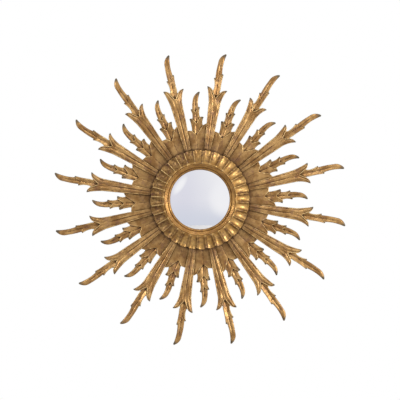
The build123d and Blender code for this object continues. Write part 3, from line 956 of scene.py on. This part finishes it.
@dataclass
class LeafRays(CarvedRays):
    """Leaf rays: a wide base with two lobes, two arrow-shaped stages and a curved finger."""

    kind: str = "leaf_ray"
    first_angle: float = 92.65
    seed: int = 5
    voxel: float = 1.2
    root_r: float = 113.4
    ring_edge_r: float = 154.8
    ring_seat: float = 40.0
    left_lobe_r: float = 216.0
    right_lobe_r: float = 237.0
    arrow_r: float = 252.0
    tongue_r: float = 284.0
    tip_r: float = 334.0
    play: float = -0.9
    half_turn: float = 11.25
    knee_r: float = 240.0
    stem_half: float = 10.0
    stem_gain: float = 5.2
    base: Section = ((0, -1.6), (0.06, -0.5), (0.3, 0.0), (0.6, -0.5), (0.88, -1.6), (0.97, -2.6), (1, -2.8))
    base_end: Section = (
        (0, -2.6), (0.1, -1.2), (0.35, -0.4), (0.6, -1.6), (0.85, -1.4), (0.94, 0.0), (1, -1.2),
    )
    arrow_relief: Section = (
        (0, -3.0), (0.08, -0.8), (0.2, -1.8), (0.5, -0.4), (0.8, -2.2), (0.96, -4.0), (1, -4.2),
    )
    barb: Section = ((0, -2.8), (0.1, -0.8), (0.35, -2.2), (0.6, -1.0), (0.78, -1.8), (0.92, 0.2), (1, -1.2))
    gouged: Section = (
        (0, -2.6), (0.1, -0.6), (0.24, 0.0), (0.4, -0.9), (0.54, -2.8), (0.66, -1.7),
        (0.84, -0.5), (0.93, -0.9), (1, -2.8),
    )
    rounded: Section = (
        (0, -3.4), (0.12, -1.8), (0.32, -0.6), (0.5, 0.0), (0.68, -0.6), (0.88, -1.8), (1, -3.4),
    )

    def tips(self) -> list[tuple[float, float, float]]:
        """Ends of the lobes, the barbs and the finger."""
        return [
            (self.arrow_r - 2, -20.8, 13.0), (self.arrow_r + 3, 23.2, 13.0),
            (self.tongue_r - 3.5, -16.6, 11.0), (self.tongue_r + 2.5, 13.5, 11.0),
            (self.tip_r, 13.3, 19.0),
        ]

    def beside_stem(self, u: float, side: int) -> tuple[float, float]:
        """Point that runs along the neighbouring long ray.

        Args:
            u: distance from the centre along that long ray.
            side: -1 for the counter-clockwise neighbour, 1 for the clockwise one.

        Returns:
            The point in this ray's own (u, v).
        """
        share = max(0.0, (u - self.ring_edge_r) / (self.knee_r - self.ring_edge_r))
        half = self.stem_half + self.stem_gain * share + self.play
        radius = math.hypot(u, half)
        angle = math.radians(self.half_turn) - math.atan2(half, u)
        return (radius * math.cos(angle), side * radius * math.sin(angle))

    def lobes(self) -> list[Lobe]:
        """Two lobes of the base, two of each arrow-shaped stage, and the finger."""
        left, right, arrow = self.left_lobe_r, self.right_lobe_r, self.arrow_r
        tongue, tip, top = self.tongue_r, self.tip_r, self.ring_seat
        base = partial(
            Lobe, root=self.base, end=self.base_end, change=(0.55, 0.85), hollowed=0.0, dip=1.5, columns=40,
            crest=((self.root_r, top), (self.ring_edge_r + 2, top), (left - 24, top - 3.2),
                   (right + 5, top - 1.6)),
        )
        stage = partial(Lobe, root=self.arrow_relief, end=self.barb, change=(0.5, 0.8), hollowed=3.0, dip=1.0)
        lower = partial(
            stage, crest=((left - 35, top - 6.2), (left - 4, top - 6.2), (arrow + 6, top - 2.6)), rows=80)
        upper = partial(
            stage, crest=((arrow - 31, top - 7.2), (arrow - 8, top - 7.2), (tongue + 6, top - 3.8)), rows=70)
        left_base = base(
            outer=tuple(self.beside_stem(u, -1) for u in (self.root_r, self.ring_edge_r, left)),
            inner=((self.root_r, 0.3), (left - 16, -0.6), (left - 2.5, -14.3), self.beside_stem(left, -1)),
        )
        right_base = base(
            outer=tuple(self.beside_stem(u, 1) for u in (self.root_r, self.ring_edge_r, right)),
            inner=((self.root_r, -0.3), (left - 16, -1.2), (right - 7.5, 19.7), self.beside_stem(right, 1)),
        )
        left_arrow = lower(
            outer=((left - 34, -9), (left - 2.5, -14.3), (arrow - 2, -20.8, 1.4)),
            inner=((left - 34, 0.2), (arrow - 16, -0.2), (arrow - 0.5, -13), (arrow - 2, -20.8, 1.0)),
        )
        right_arrow = lower(
            outer=((left - 34, 9), (right - 7.5, 19.7), (arrow + 3, 23.2, -2.4)),
            inner=((left - 34, -0.6), (arrow - 16, -0.9), (arrow + 3.5, 12.4), (arrow + 3, 23.2, -1.2)),
        )
        left_tongue = upper(
            outer=((arrow - 30, -6.5), (arrow - 0.5, -12), (tongue - 3.5, -16.6, 2.4)),
            inner=((arrow - 30, 0.4), (tongue - 13, 0.4), (tongue - 3, -11.2), (tongue - 3.5, -16.6)),
        )
        right_tongue = upper(
            outer=((arrow - 30, 6.5), (arrow + 3.5, 11.8), (tongue + 2.5, 13.5, -2.6)),
            inner=((arrow - 30, -0.4), (tongue - 13, -0.4), (tongue + 3.5, 7.8), (tongue + 2.5, 13.5)),
        )
        finger = Lobe(
            outer=((tongue - 25, -6.2), (tongue - 3, -10.8), (tongue + 22, -8.8, -0.8),
                   (tip + 0.8, 12.2, -5.0)),
            inner=((tongue - 25, 5.8), (tongue + 3.5, 8.1), (tip - 1.4, 14.8, -3.6)),
            crest=((tongue - 26, top - 8.2), (tongue + 10, top - 7.6), (tip + 2, 35.0)),
            root=self.gouged, end=self.rounded, change=(0.5, 0.86), hollowed=1.5, dip=1.5,
            rows=90, columns=26,
        )
        return [left_base, right_base, left_arrow, right_arrow, left_tongue, right_tongue, finger]


# Turned ring with flutes

class MouldingTree:
    """Geometry Nodes tree that turns a profile about the mirror's axis and cuts flutes into it.

    The scallops of the rim begin rim_band inside it, and corners closer than seam are joined, both in metres.
    """

    rim_band: float = 0.012
    seam: float = 0.00002
    inputs: tuple[tuple[str, str, float], ...] = (
        ("Segments", "NodeSocketInt", 384),
        ("Flutes", "NodeSocketInt", 32),
        ("First flute", "NodeSocketFloat", 0.0),
        ("Crest radius", "NodeSocketFloat", 0.1135),
        ("Rim radius", "NodeSocketFloat", 0.1548),
        ("Crest cut", "NodeSocketFloat", 0.0032),
        ("Middle cut", "NodeSocketFloat", 0.0045),
        ("Rim cut", "NodeSocketFloat", 0.0055),
        ("Scallop", "NodeSocketFloat", 0.0042),
    )

    def __init__(self) -> None:
        """Build the tree."""
        self.tree = bpy.data.node_groups.new("turned_moulding", "GeometryNodeTree")
        face = self.tree.interface
        face.new_socket("Profile", in_out="INPUT", socket_type="NodeSocketGeometry")
        for name, kind, value in self.inputs:
            face.new_socket(name, in_out="INPUT", socket_type=kind).default_value = value
        face.new_socket("Material", in_out="INPUT", socket_type="NodeSocketMaterial")
        face.new_socket("Ring", in_out="OUTPUT", socket_type="NodeSocketGeometry")
        self.wire()

    def value(self, operation: str, *values: Socket | float) -> Socket:
        """Result of one sum on numbers or sockets."""
        return node(self.tree, "ShaderNodeMath", dict(enumerate(values)), operation=operation).outputs[0]

    def wire(self) -> None:
        """Join the nodes: grid, profile look-up, flutes, closing and finish."""
        tree = self.tree
        plus, minus, times, over = (
            partial(self.value, operation) for operation in ("ADD", "SUBTRACT", "MULTIPLY", "DIVIDE"))
        given = node(tree, "NodeGroupInput").outputs
        count = node(tree, "GeometryNodeAttributeDomainSize", {0: given["Profile"]}, component="MESH")
        rows = count.outputs["Point Count"]
        around = plus(given["Segments"], 1.0)
        grid = node(tree, "GeometryNodeMeshGrid", {"Vertices X": around, "Vertices Y": rows})
        index = node(tree, "GeometryNodeInputIndex").outputs[0]
        row = self.value("MODULO", index, rows)
        column = self.value("FLOOR", over(plus(index, 0.5), rows))
        turn = times(over(column, given["Segments"]), 2 * math.pi)
        angle = plus(turn, given["First flute"])
        place = node(tree, "GeometryNodeInputPosition").outputs[0]
        found = node(tree, "GeometryNodeSampleIndex", {0: given["Profile"], "Value": place, "Index": row},
                     data_type="FLOAT_VECTOR", domain="POINT")
        profile = node(tree, "ShaderNodeSeparateXYZ", {0: found.outputs[0]})
        radius, depth, fluted = profile.outputs["X"], profile.outputs["Y"], profile.outputs["Z"]
        across = over(times(turn, given["Flutes"]), 2 * math.pi)
        wave = minus(times(self.value("FRACT", plus(across, 0.5)), 2.0), 1.0)
        square = times(wave, wave)
        hollow = minus(1.0, square)
        outward = node(tree, "ShaderNodeMapRange", {
            "Value": radius, "From Min": given["Crest radius"], "From Max": given["Rim radius"]}).outputs[0]
        middle = times(times(outward, minus(1.0, outward)), 4.0)
        ends = node(tree, "ShaderNodeMix", {0: outward, 2: given["Crest cut"], 3: given["Rim cut"]},
                    data_type="FLOAT")
        swell = times(middle, minus(given["Middle cut"], given["Crest cut"]))
        cut = times(plus(ends.outputs[0], swell), times(hollow, fluted))
        rim_start = minus(given["Rim radius"], self.rim_band)
        drawn_in = times(times(square, given["Scallop"]), self.value("GREATER_THAN", radius, rim_start))
        share = node(tree, "ShaderNodeMapRange", {
            "Value": radius, "From Min": rim_start, "From Max": given["Rim radius"]})
        reach = minus(radius, times(drawn_in, share.outputs[0]))
        corner = node(tree, "ShaderNodeCombineXYZ", {
            "X": times(reach, self.value("COSINE", angle)),
            "Y": minus(cut, depth),
            "Z": times(reach, self.value("SINE", angle)),
        })
        moved = node(tree, "GeometryNodeSetPosition", {
            "Geometry": grid.outputs["Mesh"], "Position": corner.outputs[0]})
        closed = node(tree, "GeometryNodeMergeByDistance", {
            "Geometry": moved.outputs[0], "Distance": self.seam})
        whole = node(tree, "GeometryNodeRealizeInstances", {0: closed.outputs[0]})
        finished = node(tree, "GeometryNodeSetMaterial", {
            "Geometry": whole.outputs[0], "Material": given["Material"]})
        node(tree, "NodeGroupOutput", {0: finished.outputs[0]})

    def turn(self, name: str, profile: np.ndarray, material: bpy.types.Material,
             values: dict[str, float]) -> bpy.types.Object:
        """Turn a closed profile into a plain mesh object.

        Args:
            name: the piece's name.
            profile: (radius, depth, share of the flutes) of each corner, in metres.
            material: the finish.
            values: inputs of the tree that differ from their defaults, by name.

        Returns:
            The ring.
        """
        mesh = bpy.data.meshes.new(f"{name}_profile")
        mesh.from_pydata([tuple(p) for p in profile], [(i, i + 1) for i in range(len(profile) - 1)], [])
        piece = bpy.data.objects.new(name, mesh)
        bpy.context.scene.collection.objects.link(piece)
        modifier = piece.modifiers.new("turned", "NODES")
        modifier.node_group = self.tree
        wanted = {**values, "Material": material}
        for socket in self.tree.interface.items_tree:
            if socket.in_out == "INPUT" and socket.name in wanted:
                modifier[socket.identifier] = wanted[socket.name]
        piece.data = applied(piece)
        # The tree leaves an empty slot before the finish, so the ring is given its finish alone.
        piece.data.materials.clear()
        piece.data.materials.append(material)
        piece.data.polygons.foreach_set("material_index", [0] * len(piece.data.polygons))
        return piece


def recalculated(mesh: bpy.types.Mesh) -> None:
    """Turn every face of a closed mesh outward."""
    shape = bmesh.new()
    shape.from_mesh(mesh)
    bmesh.ops.remove_doubles(shape, verts=shape.verts, dist=1e-6)
    bmesh.ops.recalc_face_normals(shape, faces=shape.faces)
    shape.to_mesh(mesh)
    shape.free()


def profile_line(corners: list[Point], step: float) -> np.ndarray:
    """Closed profile with places no further apart than a step.

    Args:
        corners: (radius, depth, flute share[, bow]) in millimetres; the bow is for the arriving run.
        step: greatest distance between places.

    Returns:
        Places in metres, the first one repeated at the end.
    """
    places = []
    for start, end in zip(corners, corners[1:] + corners[:1]):
        first, last = np.array(start[:3], float), np.array(end[:3], float)
        bow = end[3] if len(end) > 3 else 0.0
        along = last - first
        length = math.hypot(along[0], along[1])
        left = np.array([-along[1], along[0], 0.0]) / max(length, 1e-9)
        count = max(1, math.ceil(length / step))
        for share in np.arange(count) / count:
            places.append(first + along * share + left * 4 * bow * share * (1 - share))
    places.append(places[0])
    return np.array(places) * np.array([MM, MM, 1.0])


@dataclass
class Rings:
    """Fluted ring and the plain sight ring inside it."""

    material: bpy.types.Material
    sight_material: bpy.types.Material
    tree: MouldingTree
    bore_r: float = 103.0
    spigot_r: float = 113.0
    rim_r: float = 154.8
    crest_r: float = 113.5
    hub_front: float = 24.0
    seat: float = 40.0
    rim_top: float = 51.0
    crest: float = 69.0
    ledge: float = 46.0
    sight_r: float = 111.5
    opening_r: float = 96.0
    lip_back: float = 48.0
    flutes: int = 32
    first_flute: float = 103.2
    crest_cut: float = 5.6
    middle_cut: float = 8.6
    rim_cut: float = 8.2
    lip_r: float = 94.0

    def fluted_profile(self) -> np.ndarray:
        """Profile of the fluted ring: spigot, flange, hollow face and crest."""
        return profile_line([
            (self.bore_r, self.hub_front, 0), (self.spigot_r, self.hub_front, 0),
            (self.spigot_r, self.seat, 0),
            (self.rim_r, self.seat, 0), (self.rim_r, self.rim_top - 5.8, 0),
            (self.rim_r - 0.4, self.rim_top - 0.6, 1), (self.rim_r - 1.6, self.rim_top, 1),
            (self.crest_r + 1.2, self.crest - 0.6, 1, 4.2),
            (self.crest_r, self.crest, 0.9), (self.sight_r + 0.1, self.crest - 0.6, 0),
            (self.sight_r + 0.1, self.ledge, 0), (self.bore_r, self.ledge, 0),
        ], 1.5)

    def sight_profile(self) -> np.ndarray:
        """Profile of the sight ring: bead beside the glass, dark groove, hollow band and outer bead."""
        low, high = self.lip_back + 2.5, self.crest - 1.0
        return profile_line([
            (self.lip_r, self.lip_back + 0.2, 0), (self.opening_r, self.lip_back, 0),
            (self.bore_r - 0.5, self.lip_back, 0), (self.bore_r - 0.5, self.ledge, 0),
            (self.sight_r, self.ledge, 0), (self.sight_r, high - 3.4, 0), (self.sight_r - 0.9, high - 3.6, 0),
            (self.sight_r - 1.2, high - 1.4, 0, 0.2), (self.sight_r - 2.6, high - 0.2, 0, 0.4),
            (self.sight_r - 4.2, high - 1.6, 0, 0.4), (self.sight_r - 4.6, high - 3.4, 0),
            (self.opening_r + 5.6, low + 6.4, 0, 2.0), (self.opening_r + 4.4, low + 5.4, 0),
            (self.opening_r + 3.4, low + 0.4, 0), (self.opening_r + 2.2, low + 0.2, 0),
            (self.opening_r + 1.6, low + 2.0, 0), (self.opening_r + 0.4, low + 2.4, 0, 0.3),
            (self.lip_r + 0.4, low + 1.0, 0, 0.3), (self.lip_r, low - 0.6, 0),
        ], 0.7)

    def build(self) -> list[bpy.types.Object]:
        """Turn, flute and dress both rings."""
        fluted = self.tree.turn("carved_fluted_ring", self.fluted_profile(), self.material, {
            "Segments": self.flutes * 16, "Flutes": self.flutes,
            "First flute": math.radians(self.first_flute), "Crest radius": self.crest_r * MM,
            "Rim radius": self.rim_r * MM, "Crest cut": self.crest_cut * MM,
            "Middle cut": self.middle_cut * MM, "Rim cut": self.rim_cut * MM})
        sight = self.tree.turn("turned_sight_ring", self.sight_profile(), self.sight_material, {
            "Segments": 256, "Crest cut": 0.0, "Middle cut": 0.0, "Rim cut": 0.0, "Scallop": 0.0})
        for piece, name in ((fluted, "fluted_ring"), (sight, "sight_ring")):
            recalculated(piece.data)
            piece.data.shade_smooth()
            self.mask(piece.data)
            dress(piece, [name])
        return [fluted, sight]

    def mask(self, mesh: bpy.types.Mesh) -> None:
        """Give a turned ring the masks of its finish and of its painted shade and highlights.

        Painted shade, partly brown toner, lies along the walls of every flute, and painted shade covers the
        whole flutes on the left shoulder, the side away from the right-hand key lamp.
        """
        points = corners_of(mesh)
        quads = np.array([tuple(face.vertices)[:4] for face in mesh.polygons if len(face.vertices) >= 4])
        masks = spread_masks(points, quads, HollowReading(fine=3, wide=4, fine_range=(0.12, 0.4),
                                                          wide_range=(0.5, 1.3), edge_range=(0.1, 0.5)))
        radius = np.hypot(points[:, 0], points[:, 2]) / MM
        face = smoothstep(self.crest_r + 1, self.crest_r + 4, radius)
        turn = np.degrees(np.arctan2(points[:, 2], points[:, 0])) - self.first_flute
        across = np.abs(((turn * self.flutes / 360 + 0.5) % 1) * 2 - 1)
        # Painted shade, partly toner, on the walls of every flute; lighter at the arrises.
        walls = smoothstep(0.36, 0.7, across) * (1 - 0.5 * smoothstep(0.9, 0.98, across)) * face
        # Painted shade over the left shoulder, the side away from the right-hand key lamp; arrises stay
        # lighter.
        leftward = (-points[:, 0] + 0.35 * points[:, 2]) / MM / np.maximum(radius, 1)
        shaded = smoothstep(-0.05, 0.7, leftward) * face * (1 - 0.75 * smoothstep(0.8, 0.95, across))
        masks[Mask.SHADE_AND_GLAZE] = np.clip(np.maximum(walls, shaded), 0, 1)
        # Painted highlight on the edges cut back away from the left shoulder.
        masks[Mask.EDGE] = masks[Mask.EDGE] * (1 - 0.6 * face * (1 - smoothstep(0.2, 0.8, leftward)))
        set_masks(mesh, masks)


# Convex glass

@dataclass
class ConvexGlass:
    """Round convex glass, silvered on its back."""

    material: bpy.types.Material
    radius: float = 100.0
    bulge: float = 16.0
    thickness: float = 3.0
    edge_front: float = 45.0
    rings: int = 40
    segments: int = 160

    def build(self) -> bpy.types.Object:
        """Make and dress the glass."""
        sphere = (self.radius ** 2 + self.bulge ** 2) / (2 * self.bulge)
        centre = self.edge_front - math.sqrt(sphere ** 2 - self.radius ** 2)
        reach = np.linspace(0, self.radius, self.rings + 1)[1:]
        front = [(r, centre + math.sqrt(sphere ** 2 - r ** 2)) for r in reach]
        apex = centre + sphere
        inner = sphere - self.thickness
        inner_centre = self.edge_front - self.thickness - math.sqrt(inner ** 2 - self.radius ** 2)
        rear = [(r, inner_centre + math.sqrt(inner ** 2 - r ** 2)) for r in reach[::-1]]
        line = front + rear
        points = [(0.0, -apex * MM, 0.0)]
        for r, depth in line:
            for k in range(self.segments):
                angle = 2 * math.pi * k / self.segments
                points.append((r * MM * math.cos(angle), -depth * MM, r * MM * math.sin(angle)))
        points.append((0.0, -(inner_centre + inner) * MM, 0.0))
        last = len(points) - 1
        faces = []
        for k in range(self.segments):
            after = (k + 1) % self.segments
            faces.append((0, 1 + k, 1 + after))
            for ring in range(len(line) - 1):
                low, high = 1 + ring * self.segments, 1 + (ring + 1) * self.segments
                faces.append((low + k, high + k, high + after, low + after))
            base = 1 + (len(line) - 1) * self.segments
            faces.append((base + k, last, base + after))
        piece = mesh_object("convex_glass", np.array(points), faces, self.material)
        recalculated(piece.data)
        piece.data.shade_smooth()
        dress(piece, ["mirror_glass"])
        return piece


# Pieces that keep their own shape

@dataclass
class Backwork:
    """Boards, felts and hardware behind the mirror, which only take a finish."""

    finishes: Finishes

    def build(self) -> list[bpy.types.Object]:
        """Give every kept node its finish."""
        kept = []
        kinds = {
            self.finishes.felt: ["glass_gasket", "wall_felt_ring"],
            self.finishes.plywood: ["hub_board", "wall_spacer_ring"],
            self.finishes.hardboard: ["backing_panel", "packing_ring"],
            self.finishes.brass: [f"turn_button_{number}" for number in range(1, 5)] + ["turn_button_screws"],
            self.finishes.steel: [
                "hanger_strap_left", "hanger_strap_right", "hanging_ring_left", "hanging_ring_right",
                "hanger_screws", "long_ray_screws", "leaf_ray_screws", "ring_screws", "spacer_screws",
            ],
        }
        for material, names in kinds.items():
            for name in names:
                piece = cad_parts[name]
                piece.data.materials.clear()
                piece.data.materials.append(material)
                kept.append(piece)
        return kept


# Studio

@dataclass(frozen=True)
class Softbox:
    """Soft lamp that looks at the mirror: its place and size in metres and its power in watts."""

    name: str
    place: tuple[float, float, float]
    size: tuple[float, float]
    power: float

    def build(self) -> None:
        """Add the lamp."""
        data = bpy.data.lights.new(self.name, "AREA")
        data.shape = "RECTANGLE"
        data.size, data.size_y = self.size
        data.energy = self.power
        lamp = bpy.data.objects.new(self.name, data)
        lamp.location = self.place
        lamp.rotation_mode = "QUATERNION"
        lamp.rotation_quaternion = (-Vector(self.place)).to_track_quat("-Z", "Y")
        bpy.context.scene.collection.objects.link(lamp)


@dataclass
class Studio:
    """Plain studio: white surroundings, a pale floor, soft lamps and the camera."""

    frame_width: float = 1.24
    camera_distance: float = 4.6
    ray_plane: float = -0.035
    centre_px: tuple[float, float] = (199.95, 199.55)
    image_px: float = 400.0
    floor_z: float = -0.82
    floor_r: float = 1.35
    ambient: float = 0.4
    room_left: str = "#E8E8F0"
    room_right: str = "#FCFCFC"
    room_low: str = "#DDE1EB"
    glows: tuple[tuple[Point, Point, float], ...] = (
        ((-0.38, 0.275), (0.085, 0.26), 145.0),
        ((0.46, 0.02), (0.34, 0.42), 0.0),
    )
    room_dark: str = "#6E6C70"
    room_ends: str = "#A8A8AA"
    floor_colour: str = "#F0EFED"
    softboxes: tuple[Softbox, ...] = (
        Softbox("right_softbox", (2.45, -1.6, 0.3), (1.2, 1.3), 64.0),
        Softbox("left_softbox", (-2.3, -1.35, 0.9), (0.6, 0.8), 36.0),
        Softbox("top_softbox", (0.4, -1.7, 2.3), (1.2, 0.8), 22.0),
        Softbox("low_softbox", (0.3, -1.9, -1.9), (1.0, 0.8), 18.0),
    )

    def build(self) -> None:
        """Make the camera, the surroundings, the floor and the lamps."""
        self.camera()
        self.world()
        self.floor()
        for softbox in self.softboxes:
            softbox.build()

    def camera(self) -> None:
        """Put the camera straight in front, at the photograph's framing."""
        data = bpy.data.cameras.new("front_camera")
        data.sensor_width = 36.0
        data.lens = data.sensor_width * self.camera_distance / self.frame_width
        camera = bpy.data.objects.new("front_camera", data)
        scale = self.frame_width / self.image_px
        aside = (self.image_px / 2 - self.centre_px[0]) * scale
        above = (self.centre_px[1] - self.image_px / 2) * scale
        camera.location = (aside, self.ray_plane - self.camera_distance, above)
        camera.rotation_euler = (math.pi / 2, 0, 0)
        bpy.context.scene.collection.objects.link(camera)
        bpy.context.scene.camera = camera

    def world(self) -> None:
        """Make surroundings that look white and light the mirror gently.

        Polished and gilded surfaces see the white backdrop behind the mirror, and in front of it a pale
        room that is brighter on the key lamp's side.
        """
        world = bpy.data.worlds.new("studio")
        world.use_nodes = True
        tree = world.node_tree
        tree.nodes.clear()
        ray = node(tree, "ShaderNodeLightPath").outputs
        way = node(tree, "ShaderNodeTexCoord").outputs["Generated"]
        toward = node(tree, "ShaderNodeSeparateXYZ", {0: way}).outputs
        backdrop = between(tree, toward["Y"], 0.3, 0.7)
        plain = math_of(tree, "MAXIMUM", backdrop, ray["Is Camera Ray"])
        left_to_right = mixed(tree, between(tree, toward["X"], -0.35, 0.5), linear(self.room_left),
                              linear(self.room_right))
        room = mixed(tree, between(tree, toward["X"], -0.95, -0.5), linear(self.room_dark), left_to_right)
        room = mixed(tree, between(tree, toward["Z"], 0.05, -0.45), room, linear(self.room_low))
        for place, spread, turned in self.glows:
            room = mixed(tree, self.glow(tree, way, place, spread, turned), room, linear("#FFFFFF"))
        height = node(tree, "ShaderNodeMath", {0: toward["Z"]}, operation="ABSOLUTE")
        room = mixed(tree, between(tree, height.outputs[0], 0.6, 0.95), room, linear(self.room_ends))
        colour = mixed(tree, plain, room, linear("#FFFFFF"))
        seen = math_of(tree, "MAXIMUM", math_of(tree, "MAXIMUM", ray["Is Camera Ray"], ray["Is Glossy Ray"]),
                       ray["Is Transmission Ray"])
        strength = node(tree, "ShaderNodeMapRange", {"Value": seen, "To Min": self.ambient, "To Max": 1.0})
        background = node(tree, "ShaderNodeBackground", {"Color": colour, "Strength": strength.outputs[0]})
        node(tree, "ShaderNodeOutputWorld", {"Surface": background.outputs[0]})
        bpy.context.scene.world = world
        bpy.context.scene.view_settings.view_transform = "Standard"

    def glow(self, tree: Tree, way: Socket, place: Point, spread: Point, turned: float) -> Socket:
        """Soft-edged bright patch of the room, as the curved glass shows it.

        Args:
            tree: the world's tree.
            way: direction of the ray.
            place: middle of the patch, as the sideways and upward parts of its direction.
            spread: half its width and half its height, before it is turned.
            turned: degrees by which its width is turned from level.

        Returns:
            One in the middle, falling to nought at the edge.
        """
        angle = math.radians(turned)
        total: Socket | None = None
        sides = ((math.cos(angle), math.sin(angle)), (-math.sin(angle), math.cos(angle)))
        for size, side in zip(spread, sides):
            along = node(tree, "ShaderNodeVectorMath", {0: way, 1: (side[0] / size, 0.0, side[1] / size)},
                         operation="DOT_PRODUCT").outputs["Value"]
            middle = (place[0] * side[0] + place[1] * side[1]) / size
            off = node(tree, "ShaderNodeMath", {0: along, 1: middle}, operation="SUBTRACT").outputs[0]
            square = node(tree, "ShaderNodeMath", {0: off, 1: off}, operation="MULTIPLY").outputs[0]
            if total is None:
                total = square
            else:
                total = node(tree, "ShaderNodeMath", {0: total, 1: square}).outputs[0]
        return between(tree, total, 1.0, 0.0)

    def floor(self) -> None:
        """Make the round pale floor below the mirror."""
        corners = [(self.floor_r * math.cos(a), self.floor_r * math.sin(a), self.floor_z)
                   for a in np.linspace(0, 2 * math.pi, 96, endpoint=False)]
        material = bpy.data.materials.new("pale_floor")
        material.use_nodes = True
        shader = material.node_tree.nodes["Principled BSDF"]
        shader.inputs["Base Color"].default_value = linear(self.floor_colour)
        shader.inputs["Roughness"].default_value = 0.9
        floor = mesh_object("floor", np.array(corners), [tuple(range(len(corners)))], material, smooth=False)


def main() -> None:
    """Build the mirror piece by piece, then the studio."""
    logging.basicConfig(level=logging.INFO, format="%(name)s: %(message)s")
    finishes = Finishes.build()
    pieces = [
        *LongRays(material=finishes.rays).build(),
        *LeafRays(material=finishes.rays).build(),
        *Rings(material=finishes.ring, sight_material=finishes.sight, tree=MouldingTree()).build(),
        ConvexGlass(material=finishes.glass).build(),
        *Backwork(finishes).build(),
    ]
    for piece in pieces:
        log.info("%s: %d faces, %s", piece.name, len(piece.data.polygons), piece.data.materials[0].name)
    Studio().build()


if __name__ == "__main__":
    main()
